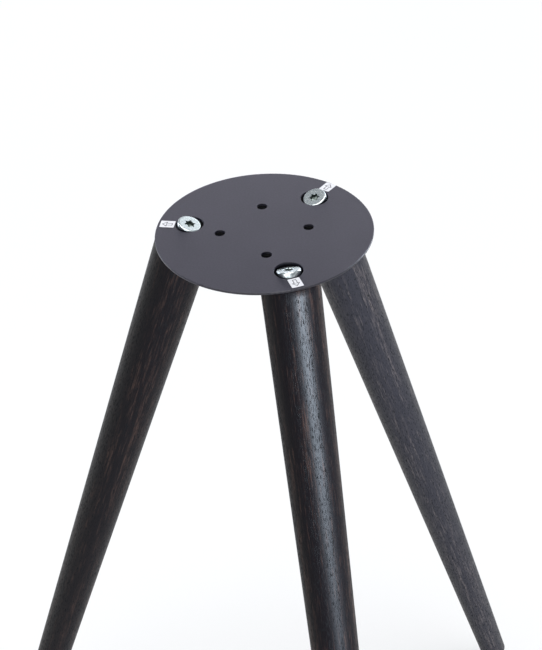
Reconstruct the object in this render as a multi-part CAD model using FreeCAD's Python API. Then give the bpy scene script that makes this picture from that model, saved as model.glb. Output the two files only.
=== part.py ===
"""Three-legged stand for an alt-azimuth telescope mount.

A thin round steel plate carries three splayed, tapered wooden legs.  Each leg is
held by one large screw that sits in an angled steel seat under an access hole, and
ends in a levelling foot.  The mount head bolts to four holes in the plate.

Frame: millimetres, +Z up, origin at the centre of the plate's top face.
The screws are drawn with plain cylinders in place of their threads.
"""
import FreeCAD, Part
import math
import os
from FreeCAD import Vector

# ---- driving dimensions (mm and degrees) -------------------------------------

STAND_HEIGHT = 800.0            # plate top to the floor

# top plate
PLATE_DIAMETER = 180.0
PLATE_THICKNESS = 2.0
PLATE_EDGE_RADIUS = 0.6
HOLE_EDGE_RADIUS = 0.35         # where the coat rounds over each hole's upper edge

# holes for the mount head, with a weld nut under each
HEAD_HOLE_COUNT = 4
HEAD_HOLE_DIAMETER = 8.8
HEAD_HOLE_CIRCLE = 73.0         # pitch circle diameter
WELD_NUT_ACROSS_FLATS = 14.0
WELD_NUT_HEIGHT = 6.5

# legs: where they meet the plate, how far they splay, how they taper
LEG_AZIMUTHS = (45.0, 165.0, 285.0)
LEG_CIRCLE = 126.4              # pitch circle diameter at the plate's top face
LEG_SPLAY = 19.4                # from the vertical
LEG_SWIRL = 4.85                # how far the splay turns aside from straight outward
LEG_DIAMETER_AT_PLATE = 48.8
LEG_TAPER = 0.012               # radius lost per unit length
LEG_TOP_EDGE = 0.8
LEG_BOTTOM_EDGE = 1.5

# leg screw, M10 pan head with a six-lobed recess
ACCESS_HOLE_DIAMETER = 23.5
SCREW_DIAMETER = 10.0
SCREW_LENGTH = 35.0
SCREW_HEAD_DIAMETER = 20.0
SCREW_HEAD_HEIGHT = 6.5
SCREW_HEAD_RISE = 0.9           # head's top above the plate plane, along the leg
SCREW_HEAD_ROUND = 1.1
SCREW_HEAD_FOOT_ROUND = 0.4
RECESS_TIP_DIAMETER = 8.83
RECESS_ROOT_DIAMETER = 6.36
RECESS_LOBE_RADIUS = 0.75
RECESS_DEPTH = 3.6
RECESS_CHAMFER = 0.35
RECESS_TURNS = (12.0, 40.0, 3.0)    # how far each screw's recess is turned when tight

# spring washer, seat and threaded insert under each leg screw
WASHER_DIAMETER = 18.1
WASHER_BORE = 10.4
WASHER_THICKNESS = 2.2
WASHER_SPLIT = 1.6
SEAT_WALL = 2.0
SEAT_FLOOR = 3.0
SEAT_BORE = 11.0
INSERT_DIAMETER = 14.0
INSERT_LENGTH = 25.0
INSERT_SUNK = 0.5               # below the floor of the leg's pocket

# stick-on direction labels: centre radius, azimuth from the leg's, twist
LABEL_LENGTH = 12.2
LABEL_WIDTH = 9.8
LABEL_THICKNESS = 0.15
LABEL_CORNER = 0.4
LABEL_PLACES = ((83.0, 1.5, 6.0), (81.6, 1.6, 3.0), (81.3, -0.2, 0.3))

# levelling foot, M8
FOOT_STUD_DIAMETER = 8.0
FOOT_INSERT_DIAMETER = 12.0
FOOT_INSERT_LENGTH = 15.0
NUT_ACROSS_FLATS = 13.0
LOCKNUT_HEIGHT = 6.5
COLLAR_HEIGHT = 5.0
COLLAR_TO_BASE = 3.2
BASE_DIAMETER = 40.0
BASE_TOP_DIAMETER = 19.0
BASE_HEIGHT = 12.0
BASE_RIM_HEIGHT = 4.0
PAD_DIAMETER = 38.0
PAD_THICKNESS = 4.0
PAD_EDGE_RADIUS = 1.2
PAD_GROOVES = 2
BALL_DIAMETER = 11.0
BALL_HEIGHT_IN_BASE = 7.0       # ball centre above the base's underside
NECK_DIAMETER = 6.4
SOCKET_MOUTH = 9.6

THREAD_GAP = 0.05               # radial, between a screw and the thread it runs in
POCKET_GAP = 0.3                # around the seat, in the leg's pocket
BALL_GAP = 0.06

# ---- levels that follow from them --------------------------------------------

PLATE_UNDERSIDE = -PLATE_THICKNESS
FLOOR = -STAND_HEIGHT
BASE_UNDERSIDE = FLOOR + PAD_THICKNESS
BALL_CENTRE = BASE_UNDERSIDE + BALL_HEIGHT_IN_BASE
BASE_TOP = BASE_UNDERSIDE + BASE_HEIGHT
COLLAR_UNDERSIDE = BASE_TOP + COLLAR_TO_BASE
COLLAR_TOP = COLLAR_UNDERSIDE + COLLAR_HEIGHT
CONTACT_GAP = 0.1               # between the foot's collar and its locknut
LEG_BOTTOM = COLLAR_TOP + CONTACT_GAP + LOCKNUT_HEIGHT

# distances down the leg's axis, from where it crosses the plate's top face
HEAD_SEAT = SCREW_HEAD_HEIGHT - SCREW_HEAD_RISE
SEAT_FLOOR_TOP = HEAD_SEAT + WASHER_THICKNESS
SEAT_FLOOR_BOTTOM = SEAT_FLOOR_TOP + SEAT_FLOOR
INSERT_TOP = SEAT_FLOOR_BOTTOM + INSERT_SUNK
SCREW_TIP = HEAD_SEAT + SCREW_LENGTH

UP = Vector(0, 0, 1)
DOWN = Vector(0, 0, -1)
FAR = 4 * STAND_HEIGHT


# ---- small helpers -----------------------------------------------------------

def polar(radius, azimuth, z=0.0):
    turn = math.radians(azimuth)
    return Vector(radius * math.cos(turn), radius * math.sin(turn), z)


def rod(start, direction, diameter, length):
    return Part.makeCylinder(diameter / 2, length, start, direction)


def edges_at(shape, z):
    """The round or straight edges that lie wholly at one height."""
    box_of = [(edge, edge.BoundBox) for edge in shape.Edges]
    return [edge for edge, box in box_of if abs(box.ZMin - z) < 0.01 and abs(box.ZMax - z) < 0.01]


def hexagon(across_flats, height, z_bottom):
    """A hexagonal prism with its corners bevelled at both ends, as on a nut."""
    corner = across_flats / math.sqrt(3)
    bevel = 0.7 * (corner - across_flats / 2)
    points = [polar(corner, 60 * step, z_bottom) for step in range(7)]
    prism = Part.Face(Part.makePolygon(points)).extrude(Vector(0, 0, height))
    blank = rod(Vector(0, 0, z_bottom), UP, 2 * corner, height)
    ends = edges_at(blank, z_bottom) + edges_at(blank, z_bottom + height)
    return prism.common(blank.makeChamfer(bevel, ends))


def turned(shape, azimuth):
    """A copy turned about the stand's axis, from azimuth 0 to its own leg."""
    copy = shape.copy()
    copy.rotate(Vector(0, 0, 0), UP, azimuth)
    return copy


class LegAxis:
    """The axis of a leg at azimuth 0, where each piece of a leg is drawn.

    Distances along it count down from the plate's top face.
    """

    def __init__(self):
        self.origin = polar(LEG_CIRCLE / 2, 0)
        lean = polar(math.sin(math.radians(LEG_SPLAY)), -LEG_SWIRL)
        self.down = lean + Vector(0, 0, -math.cos(math.radians(LEG_SPLAY)))
        self.up = -self.down

    def at(self, distance):
        return self.origin + self.down * distance

    def at_height(self, z):
        return self.at(z / self.down.z)

    def rod(self, diameter, start, end):
        return rod(self.at(start), self.down, diameter, end - start)

    def place(self, shape, distance, turn=0.0):
        """Stands a shape drawn about +Z on the axis, its +Z pointing up the leg."""
        tilt = FreeCAD.Rotation(UP, self.up)
        spin = FreeCAD.Rotation(UP, turn)
        moved = shape.copy()
        moved.Placement = FreeCAD.Placement(self.at(distance), tilt.multiply(spin))
        return moved


# ---- the plate and what is on it ---------------------------------------------

def head_hole_centres(z=0.0):
    step = 360.0 / HEAD_HOLE_COUNT
    return [polar(HEAD_HOLE_CIRCLE / 2, step * index, z) for index in range(HEAD_HOLE_COUNT)]


def top_plate():
    plate = rod(Vector(0, 0, PLATE_UNDERSIDE), UP, PLATE_DIAMETER, PLATE_THICKNESS)
    rims = edges_at(plate, 0) + edges_at(plate, PLATE_UNDERSIDE)
    plate = plate.makeFillet(PLATE_EDGE_RADIUS, rims)
    holes = [rod(centre, DOWN, HEAD_HOLE_DIAMETER, PLATE_THICKNESS) for centre in head_hole_centres()]
    for azimuth in LEG_AZIMUTHS:
        holes.append(rod(polar(LEG_CIRCLE / 2, azimuth), DOWN, ACCESS_HOLE_DIAMETER, PLATE_THICKNESS))
    plate = plate.cut(holes)
    mouths = [edge for edge in edges_at(plate, 0) if edge.BoundBox.XLength < PLATE_DIAMETER / 2]
    return plate.makeFillet(HOLE_EDGE_RADIUS, mouths)


def mount_nut(centre):
    nut = hexagon(WELD_NUT_ACROSS_FLATS, WELD_NUT_HEIGHT, PLATE_UNDERSIDE - WELD_NUT_HEIGHT)
    bore = FOOT_STUD_DIAMETER + 2 * THREAD_GAP
    nut = nut.cut(rod(Vector(0, 0, PLATE_UNDERSIDE), DOWN, bore, WELD_NUT_HEIGHT))
    nut.translate(centre)
    return nut


def direction_label(place):
    """A small rounded rectangle whose long side points outward from the hole."""
    radius, aside, twist = place
    low = Vector(-LABEL_LENGTH / 2, -LABEL_WIDTH / 2, 0)
    label = Part.makeBox(LABEL_LENGTH, LABEL_WIDTH, LABEL_THICKNESS, low)
    upright = [edge for edge in label.Edges if edge.BoundBox.ZLength > LABEL_THICKNESS / 2]
    label = label.makeFillet(LABEL_CORNER, upright)
    label.Placement = FreeCAD.Placement(polar(radius, aside), FreeCAD.Rotation(UP, twist))
    return label


# ---- the joint at the top of each leg ----------------------------------------

def slanted_cup(axis, diameter, floor_at):
    """A vertical cylinder under the plate, ended square to the leg's axis."""
    outer = rod(polar(LEG_CIRCLE / 2, 0, PLATE_UNDERSIDE), DOWN, diameter, 2 * diameter)
    above_floor = rod(axis.at(floor_at), axis.up, 4 * diameter, 2 * diameter)
    return outer.common(above_floor)


def leg_seat(axis):
    outer = slanted_cup(axis, ACCESS_HOLE_DIAMETER + 2 * SEAT_WALL, SEAT_FLOOR_BOTTOM)
    inner = slanted_cup(axis, ACCESS_HOLE_DIAMETER, SEAT_FLOOR_TOP)
    return outer.cut([inner, axis.rod(SEAT_BORE, 0, 2 * SEAT_FLOOR_BOTTOM)])


def recess_outline():
    """Six round lobes joined by six tangent hollows, centred on the origin."""
    lobe = RECESS_LOBE_RADIUS
    lobe_centre = RECESS_TIP_DIAMETER / 2 - lobe
    root = RECESS_ROOT_DIAMETER / 2
    cos30 = math.cos(math.radians(30))
    hollow = ((lobe ** 2 - lobe_centre ** 2 - root ** 2 + 2 * lobe_centre * root * cos30)
              / (2 * root - 2 * lobe_centre * cos30 - 2 * lobe))
    hollow_centre = root + hollow
    tangents = []
    for step in range(6):
        centre = polar(lobe_centre, 60 * step)
        for side in (-30, 30):
            toward = polar(hollow_centre, 60 * step + side) - centre
            tangents.append(centre + toward.normalize() * lobe)
    arcs = []
    for step in range(6):
        start, end = tangents[2 * step], tangents[2 * step + 1]
        following = tangents[(2 * step + 2) % 12]
        arcs.append(Part.Arc(start, polar(RECESS_TIP_DIAMETER / 2, 60 * step), end).toShape())
        arcs.append(Part.Arc(end, polar(root, 60 * step + 30), following).toShape())
    return Part.Wire(arcs)


def leg_screw(axis, turn):
    """Drawn upright with the head's top at z = 0, then stood on the leg's axis."""
    head = rod(Vector(0, 0, 0), DOWN, SCREW_HEAD_DIAMETER, SCREW_HEAD_HEIGHT)
    head = head.makeFillet(SCREW_HEAD_ROUND, edges_at(head, 0))
    head = head.makeFillet(SCREW_HEAD_FOOT_ROUND, edges_at(head, -SCREW_HEAD_HEIGHT))
    recess = Part.Face(recess_outline()).extrude(Vector(0, 0, -RECESS_DEPTH))
    mouth = Part.makeCone(RECESS_TIP_DIAMETER / 2 - RECESS_CHAMFER, RECESS_TIP_DIAMETER / 2 + RECESS_CHAMFER,
                          2 * RECESS_CHAMFER, Vector(0, 0, -2 * RECESS_CHAMFER))
    shank = rod(Vector(0, 0, -SCREW_HEAD_HEIGHT), DOWN, SCREW_DIAMETER, SCREW_LENGTH)
    shank = shank.makeChamfer(1.0, edges_at(shank, -SCREW_HEAD_HEIGHT - SCREW_LENGTH))
    screw = head.cut([recess, mouth]).fuse(shank).removeSplitter()
    return axis.place(screw, -SCREW_HEAD_RISE, turn)


def lock_washer(axis):
    """A spring washer, split across one side by a slanted cut."""
    ring = rod(Vector(0, 0, 0), DOWN, WASHER_DIAMETER, WASHER_THICKNESS)
    ring = ring.cut(rod(Vector(0, 0, 0), DOWN, WASHER_BORE, WASHER_THICKNESS))
    split = Part.makeBox(WASHER_DIAMETER, WASHER_SPLIT, 4 * WASHER_THICKNESS,
                         Vector(0, -WASHER_SPLIT / 2, -2.5 * WASHER_THICKNESS))
    split.rotate(Vector(0, 0, -WASHER_THICKNESS / 2), Vector(1, 0, 0), 25)
    return axis.place(ring.cut(split), HEAD_SEAT)


def leg_insert(axis):
    """A threaded steel bush that the leg screw pulls on."""
    bush = axis.rod(INSERT_DIAMETER, INSERT_TOP, INSERT_TOP + INSERT_LENGTH)
    bore = axis.rod(SCREW_DIAMETER + 2 * THREAD_GAP, 0, INSERT_TOP + 2 * INSERT_LENGTH)
    return bush.cut(bore)


# ---- the leg -----------------------------------------------------------------

def leg(axis):
    """A tapered round leg, cut level at both ends and bored for what it holds."""
    length = LEG_BOTTOM / axis.down.z
    start, end = -length * 0.1, length * 1.1
    top_radius = LEG_DIAMETER_AT_PLATE / 2 - LEG_TAPER * start
    bottom_radius = LEG_DIAMETER_AT_PLATE / 2 - LEG_TAPER * end
    taper = Part.makeCone(top_radius, bottom_radius, end - start, axis.at(start), axis.down)
    between = rod(Vector(0, 0, LEG_BOTTOM), UP, FAR, PLATE_UNDERSIDE - LEG_BOTTOM)
    body = taper.common(between)
    body = body.makeFillet(LEG_BOTTOM_EDGE, edges_at(body, LEG_BOTTOM))
    body = body.makeChamfer(LEG_TOP_EDGE, edges_at(body, PLATE_UNDERSIDE))
    return body.cut(leg_top_bores(axis) + leg_bottom_bores(axis))


def leg_top_bores(axis):
    pocket = slanted_cup(axis, ACCESS_HOLE_DIAMETER + 2 * (SEAT_WALL + POCKET_GAP), SEAT_FLOOR_BOTTOM)
    insert = axis.rod(INSERT_DIAMETER, SEAT_FLOOR_BOTTOM - 1, INSERT_TOP + INSERT_LENGTH)
    screw = axis.rod(SCREW_DIAMETER + 1, SEAT_FLOOR_BOTTOM, SCREW_TIP + 3)
    # every leg has a relief for a weld nut on each side, so that the legs are alike
    reliefs = []
    for side in (-15, 15):
        centre = polar(HEAD_HOLE_CIRCLE / 2, side, PLATE_UNDERSIDE)
        reliefs.append(rod(centre, DOWN, WELD_NUT_ACROSS_FLATS + 4, WELD_NUT_HEIGHT + 1))
    return [pocket, insert, screw] + reliefs


def leg_bottom_bores(axis):
    mouth = axis.at_height(LEG_BOTTOM)
    insert = rod(mouth, UP, FOOT_INSERT_DIAMETER, FOOT_INSERT_LENGTH)
    stud_top = LOCKNUT_HEIGHT + FOOT_INSERT_LENGTH + 4
    stud = rod(mouth, UP, FOOT_STUD_DIAMETER + 1, stud_top)
    return [insert, stud]


# ---- the levelling foot, drawn upright under the leg's end -------------------

def foot_insert(x_y):
    bush = rod(x_y + Vector(0, 0, LEG_BOTTOM), UP, FOOT_INSERT_DIAMETER, FOOT_INSERT_LENGTH)
    bore = FOOT_STUD_DIAMETER + 2 * THREAD_GAP
    return bush.cut(rod(x_y + Vector(0, 0, LEG_BOTTOM), UP, bore, FOOT_INSERT_LENGTH))


def foot_locknut(x_y):
    nut = hexagon(NUT_ACROSS_FLATS, LOCKNUT_HEIGHT, LEG_BOTTOM - LOCKNUT_HEIGHT)
    bore = FOOT_STUD_DIAMETER + 2 * THREAD_GAP
    nut = nut.cut(rod(Vector(0, 0, LEG_BOTTOM), DOWN, bore, LOCKNUT_HEIGHT))
    nut.translate(x_y)
    return nut


def foot_stud(x_y):
    """Threaded stud, hexagonal collar, neck and ball, turned from one bar."""
    thread_top = LEG_BOTTOM + FOOT_INSERT_LENGTH + 2
    thread = rod(Vector(0, 0, COLLAR_TOP), UP, FOOT_STUD_DIAMETER, thread_top - COLLAR_TOP)
    thread = thread.makeChamfer(0.8, edges_at(thread, thread_top))
    collar = hexagon(NUT_ACROSS_FLATS, COLLAR_HEIGHT, COLLAR_UNDERSIDE)
    neck = rod(Vector(0, 0, BALL_CENTRE), UP, NECK_DIAMETER, COLLAR_UNDERSIDE - BALL_CENTRE)
    ball = Part.makeSphere(BALL_DIAMETER / 2, Vector(0, 0, BALL_CENTRE))
    stud = thread.fuse([collar, neck, ball]).removeSplitter()
    stud.translate(x_y)
    return stud


def foot_base(x_y):
    """Moulded swivel base: a low cone with a ball socket open at its top."""
    rim = rod(Vector(0, 0, BASE_UNDERSIDE), UP, BASE_DIAMETER, BASE_RIM_HEIGHT)
    cone = Part.makeCone(BASE_DIAMETER / 2, BASE_TOP_DIAMETER / 2, BASE_HEIGHT - BASE_RIM_HEIGHT,
                         Vector(0, 0, BASE_UNDERSIDE + BASE_RIM_HEIGHT))
    base = rim.fuse(cone).removeSplitter()
    base = base.makeFillet(1.0, edges_at(base, BASE_UNDERSIDE + BASE_RIM_HEIGHT) + edges_at(base, BASE_TOP))
    socket = Part.makeSphere(BALL_DIAMETER / 2 + BALL_GAP, Vector(0, 0, BALL_CENTRE))
    mouth_foot = math.sqrt((BALL_DIAMETER / 2 + BALL_GAP) ** 2 - (SOCKET_MOUTH / 2) ** 2)
    rise = BASE_TOP - BALL_CENTRE - mouth_foot
    mouth = Part.makeCone(SOCKET_MOUTH / 2, SOCKET_MOUTH / 2 + rise / 2, rise,
                          Vector(0, 0, BALL_CENTRE + mouth_foot))
    base = base.cut([socket, mouth])
    base.translate(x_y)
    return base


def foot_pad(x_y):
    """Rubber disc with a rounded lower edge and shallow grip grooves."""
    pad = rod(Vector(0, 0, FLOOR), UP, PAD_DIAMETER, PAD_THICKNESS)
    pad = pad.makeFillet(PAD_EDGE_RADIUS, edges_at(pad, FLOOR))
    groove_width, groove_depth = 1.6, 1.0
    for index in range(PAD_GROOVES):
        outer = PAD_DIAMETER * (0.72 - 0.3 * index)
        groove = rod(Vector(0, 0, FLOOR), UP, outer, groove_depth)
        pad = pad.cut(groove.cut(rod(Vector(0, 0, FLOOR), UP, outer - 2 * groove_width, groove_depth)))
    pad.translate(x_y)
    return pad


# ---- every piece, by name ----------------------------------------------------

def leg_pieces(axis, recess_turn, label_place):
    """Everything that belongs to one leg, drawn at azimuth 0."""
    below = axis.at_height(LEG_BOTTOM)
    x_y = Vector(below.x, below.y, 0)
    return {
        "leg_seat": leg_seat(axis),
        "leg_screw": leg_screw(axis, recess_turn),
        "lock_washer": lock_washer(axis),
        "leg_insert": leg_insert(axis),
        "leg": leg(axis),
        "direction_label": direction_label(label_place),
        "foot_insert": foot_insert(x_y),
        "foot_locknut": foot_locknut(x_y),
        "foot_stud": foot_stud(x_y),
        "foot_base": foot_base(x_y),
        "foot_pad": foot_pad(x_y),
    }


def pieces():
    found = {"top_plate": top_plate()}
    for number, centre in enumerate(head_hole_centres(), 1):
        found[f"mount_nut_{number}"] = mount_nut(centre)
    axis = LegAxis()
    legs = zip(LEG_AZIMUTHS, RECESS_TURNS, LABEL_PLACES)
    for number, (azimuth, recess_turn, label_place) in enumerate(legs, 1):
        for name, shape in leg_pieces(axis, recess_turn, label_place).items():
            found[f"{name}_{number}"] = turned(shape, azimuth)
        ball = found[f"foot_stud_{number}"].BoundBox.Center
        print(f"foot {number}: x {ball.x:.3f}, y {ball.y:.3f}, ball centre z {BALL_CENTRE:.3f}")
    return found


def main():
    os.makedirs("parts", exist_ok=True)
    for name, shape in pieces().items():
        if not shape.isValid() or len(shape.Solids) != 1:
            raise SystemExit(f"{name} is not one valid solid")
        shape.Solids[0].exportStep(os.path.join("parts", name + ".step"))
        print(f"{name}: {shape.Volume / 1000:.2f} cm3")


main()
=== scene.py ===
# %% [markdown]
# # A three-legged stand for an alt-azimuth telescope mount
# The stand is a thin round steel plate on three splayed wooden legs. A mount head bolts to the
# four small holes in the plate. The design, with every size and joint, is already made and
# packed. This lesson gives it the looks: dense turned meshes, real threads, and a finish for
# each piece that is worked out by the shader, with no image textures.

# %% Load the packed design
import math

import bpy
import numpy as np
from mathutils import Matrix, Vector


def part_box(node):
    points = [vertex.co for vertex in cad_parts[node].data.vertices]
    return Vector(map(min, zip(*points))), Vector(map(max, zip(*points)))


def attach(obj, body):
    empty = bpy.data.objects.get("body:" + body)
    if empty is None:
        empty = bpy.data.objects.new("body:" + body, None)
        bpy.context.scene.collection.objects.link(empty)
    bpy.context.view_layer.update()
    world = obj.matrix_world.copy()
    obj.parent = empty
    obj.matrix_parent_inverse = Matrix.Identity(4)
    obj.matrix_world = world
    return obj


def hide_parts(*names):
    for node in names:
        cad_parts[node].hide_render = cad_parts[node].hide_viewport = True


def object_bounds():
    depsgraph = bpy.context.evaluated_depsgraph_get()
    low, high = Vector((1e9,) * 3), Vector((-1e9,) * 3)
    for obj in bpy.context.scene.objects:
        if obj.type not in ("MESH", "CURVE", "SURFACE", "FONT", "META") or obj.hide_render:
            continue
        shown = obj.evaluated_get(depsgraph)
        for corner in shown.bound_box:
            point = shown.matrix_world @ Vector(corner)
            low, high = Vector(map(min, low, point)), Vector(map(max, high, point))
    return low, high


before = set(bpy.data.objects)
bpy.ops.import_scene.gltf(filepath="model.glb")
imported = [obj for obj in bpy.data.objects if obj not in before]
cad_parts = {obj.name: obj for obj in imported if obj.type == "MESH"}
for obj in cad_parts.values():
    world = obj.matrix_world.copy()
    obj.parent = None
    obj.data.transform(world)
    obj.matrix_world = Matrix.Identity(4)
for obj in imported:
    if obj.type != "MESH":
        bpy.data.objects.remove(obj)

CAD_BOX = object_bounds()
MM = 0.001
LEGS = (1, 2, 3)
HEAD_NUTS = (1, 2, 3, 4)

# %% [markdown]
# ## Where things are
# No piece is placed by eye. A leg's axis runs from the centre of its large hole, level with the
# plate's top face, to the centre of its foot, level with the leg's lower end. Both points come
# from the packed design's own boxes, so the pieces follow if the design moves. The small sizes
# of a piece, such as a bore's or a screw head's, are repeated from the design as numbers, and
# those have to be changed by hand.

# %% Find each leg's axis in the design


def middle(node):
    low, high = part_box(node)
    return (low + high) / 2


PLATE_LOW, PLATE_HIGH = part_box("top_plate")
PLATE_TOP, PLATE_UNDERSIDE = PLATE_HIGH.z, PLATE_LOW.z
LEG_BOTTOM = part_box("leg_1")[0].z


class LegAxis:
    """A leg's own axes: z up the leg, x outward and up, y level, origin in its large hole."""

    def __init__(self, number):
        hole, foot = middle(f"leg_seat_{number}"), middle(f"foot_stud_{number}")
        self.number = number
        self.hole = Vector((hole.x, hole.y, PLATE_TOP))
        self.foot = Vector((foot.x, foot.y, LEG_BOTTOM))
        self.up = (self.hole - self.foot).normalized()
        self.level = Vector((0, 0, 1)).cross(-self.up).normalized()
        self.out = self.level.cross(self.up)
        self.matrix = Matrix.Translation(self.hole) @ Matrix(
            [self.out, self.level, self.up]).transposed().to_4x4()

    def at(self, down):
        return self.hole - self.up * down


AXES = {number: LegAxis(number) for number in LEGS}
for axis in AXES.values():
    lean = math.degrees(axis.up.angle(Vector((0, 0, 1))))
    print(f"leg {axis.number}: leans {lean:.2f} degrees")

# %% [markdown]
# ## One way to make every turned piece
# Legs, screws, nuts and feet are all turned or moulded round pieces, so one helper makes them
# all. It stacks rings of points and skins them with four-sided faces. A ring's radius may be one
# number, as on a lathe, or change with the angle, which gives a hexagon, a six-lobed socket or a
# thread. Blender's Screw modifier could turn a plain profile, but not those, and its threads
# would be a spiral of loose ends. Stacked rings always give one closed mesh.

# %% Stack rings and skin them
SEGMENTS = 96
SMOOTH_UP_TO = math.radians(38)


def angles():
    return np.linspace(0, 2 * math.pi, SEGMENTS, endpoint=False)


def ring(radius, height):
    """Points of one ring; the radius and the height are numbers or one value for each angle."""
    turn = angles()
    return np.stack([radius * np.cos(turn), radius * np.sin(turn), height + np.zeros(SEGMENTS)], axis=1)


def skin(name, rings, hollow=False, matrix=None):
    """Joins stacked rings into one closed mesh; a hollow piece's last ring meets its first."""
    count, size = len(rings), len(rings[0])
    points = np.concatenate(rings)
    if matrix is not None:
        inverse = np.array(matrix.inverted())
        points = points @ inverse[:3, :3].T + inverse[:3, 3]
    faces = []
    for row in range(count if hollow else count - 1):
        near, far = row * size, (row + 1) % count * size
        for step in range(size):
            following = (step + 1) % size
            faces.append((near + step, near + following, far + following, far + step))
    if not hollow:
        ends = np.array([points[:size].mean(0), points[-size:].mean(0)])
        first, last = len(points), len(points) + 1
        points = np.concatenate([points, ends])
        start = (count - 1) * size
        for step in range(size):
            following = (step + 1) % size
            faces.append((first, following, step))
            faces.append((last, start + step, start + following))
    mesh = bpy.data.meshes.new(name)
    mesh.from_pydata(points.tolist(), [], faces)
    mesh.polygons.foreach_set("use_smooth", [True] * len(mesh.polygons))
    mesh.set_sharp_from_angle(angle=SMOOTH_UP_TO)
    mesh.validate()
    piece = bpy.data.objects.new(name, mesh)
    bpy.context.scene.collection.objects.link(piece)
    if matrix is not None:
        piece.matrix_world = matrix
    return piece


print("points in each ring:", len(ring(1.0, 0.0)))

# %% [markdown]
# ## Rounded edges, and standing for a node
# A made edge is never quite sharp, and a rounded one catches the light. The Bevel modifier could
# round them, but on stacked rings it is simpler to walk round a quarter circle and add a ring at
# each step. The second helper hides the plain design node behind the piece that shows it.

# %% Round an edge, and put a piece in a node's place


def rounding(radius, height, round_by, start, end, steps=6):
    """(radius, height) pairs around a rounded edge, centred at the pair given."""
    turns = np.radians(np.linspace(start, end, steps))
    return [(radius + round_by * math.cos(turn), height + round_by * math.sin(turn)) for turn in turns]


def stand_for(piece, node, body):
    """Hides a CAD node behind the piece that shows it, and puts the piece on its body."""
    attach(piece, body)
    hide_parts(node)
    return piece


print("steps round a quarter:", len(rounding(1.0, 0.0, 1.0, 0, 90)))

# %% [markdown]
# ## The legs
# Each leg is a long, slim cone turned from one piece of hardwood, then sawn level at both ends.
# The upper end is bored for the seat, the insert and the screw, with a scallop on each inner side
# that clears the nuts under the plate. The lower end is bored for the foot. A ring is the level
# section of a leaning cone. Its radius about the axis follows from the level that it lies on,
# because the side that leans up is nearer the leg's thick end. A cone cut by Booleans would give
# the same shape with long thin faces, and those shade badly on a lacquered leg.

# %% Measure a leg's taper from the design
NEAR_PLATE = 0.1        # shares of the leg's length, down from the plate
NEAR_FOOT = 0.95
OUTER_SKIN = 0.55       # a share of the thickest radius; what lies nearer the axis is a bore


def taper_of(axis):
    """The leg's radius where its axis meets the plate, and what it loses per metre."""
    points = np.array([vertex.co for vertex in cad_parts[f"leg_{axis.number}"].data.vertices])
    local = (points - np.array(axis.hole)) @ np.array([axis.out, axis.level, axis.up]).T
    reach = np.hypot(local[:, 0], local[:, 1])
    length = (axis.hole - axis.foot).length
    upper = reach[local[:, 2] > -NEAR_PLATE * length].max()
    where = local[reach == upper][0, 2]
    outer = reach > OUTER_SKIN * upper
    lower = local[:, 2] < -NEAR_FOOT * length
    far = reach[outer & lower].max()
    there = local[reach == far][0, 2]
    loss = (upper - far) / (where - there)
    return upper - loss * where, loss


THICK, LOSS = taper_of(AXES[1])
print(f"leg 1: {THICK * 2 / MM:.1f} mm thick at the plate, losing {LOSS * 2:.4f} mm of width per mm")

# %% [markdown]
# ## A leaning cone in level slices
# Each slice is found with a little algebra. The scallops that clear the nuts come from the same
# slices: where a line from a slice's middle to its edge meets the circle round a nut, the edge is
# pulled in to that circle.

# %% Slice a leg
RELIEF_RADIUS = 9.0 * MM


class Leg:
    """The level sections of one leaning, tapered leg."""

    def __init__(self, axis):
        self.axis = axis
        self.radius, self.loss = taper_of(axis)
        self.cos, self.sin = axis.up.z, axis.out.z
        self.basis = np.array([axis.out, axis.level, axis.up])

    def section(self, level, inset=0.0):
        """The ring where the leg's skin, moved in by the inset, meets one level."""
        across = np.cos(angles())
        drop = (level - PLATE_TOP) / self.cos
        radius = (self.radius - inset + self.loss * drop) / (1 + self.loss * across * self.sin / self.cos)
        height = drop - radius * across * self.sin / self.cos
        local = np.stack([radius * across, radius * np.sin(angles()), height], axis=1)
        return local @ self.basis + np.array(self.axis.hole)

    def relieved(self, points):
        """Pulls in any part of an outline that comes too near a nut under the plate."""
        centre = points.mean(0)
        for number in HEAD_NUTS:
            nut = np.array(middle(f"mount_nut_{number}"))
            if np.hypot(*(nut - centre)[:2]) > 2 * self.radius:
                continue
            reach = points[:, :2] - centre[:2]
            toward = centre[:2] - nut[:2]
            a = (reach ** 2).sum(1)
            b = 2 * reach @ toward
            c = toward @ toward - RELIEF_RADIUS ** 2
            inside = b * b - 4 * a * c
            first = (-b - np.sqrt(np.maximum(inside, 0))) / (2 * a)
            cut = (inside > 0) & (first > 0) & (first < 1)
            points = points.copy()
            points[cut, :2] = centre[:2] + reach[cut] * first[cut, None]
        return points

    def bore(self, radius, down):
        """A ring about the leg's own axis."""
        return ring(radius, -down) @ self.basis + np.array(self.axis.hole)


print("leg 1 leans out by", round(Leg(AXES[1]).sin, 3), "of its length")

# %% [markdown]
# ## Bores and pocket
# The upper end is made from the inside out: the screw's bore, the wider bore for the insert, the
# pocket that the seat drops into, then the leg's own skin down to its rounded lower edge, and last
# the two steps of the foot's bore. One run of rings makes the whole leg, so it is one closed skin.

# %% Turn and bore the legs
LEG_SLICES = 48
LEG_LOWER_ROUND = 1.5 * MM
LEG_UPPER_BEVEL = 0.8 * MM
RELIEF_DEPTH = 7.5 * MM
FIRST_SLICE = 12 * MM                                   # below the plate's underside
SEAT_ROOM = 0.3 * MM
POCKET_FLOOR = 10.8 * MM                                # down the leg's axis
INSERT_BORE, INSERT_BORE_END = 7.0 * MM, 36.3 * MM      # radius, and end down the axis
SCREW_BORE, SCREW_BORE_END = 5.5 * MM, 43.6 * MM
FOOT_BORE, FOOT_BORE_TOP = 6.0 * MM, 15 * MM            # radius, and rise above the leg's lower end
STUD_BORE, STUD_BORE_TOP = 4.5 * MM, 25.5 * MM


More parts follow.
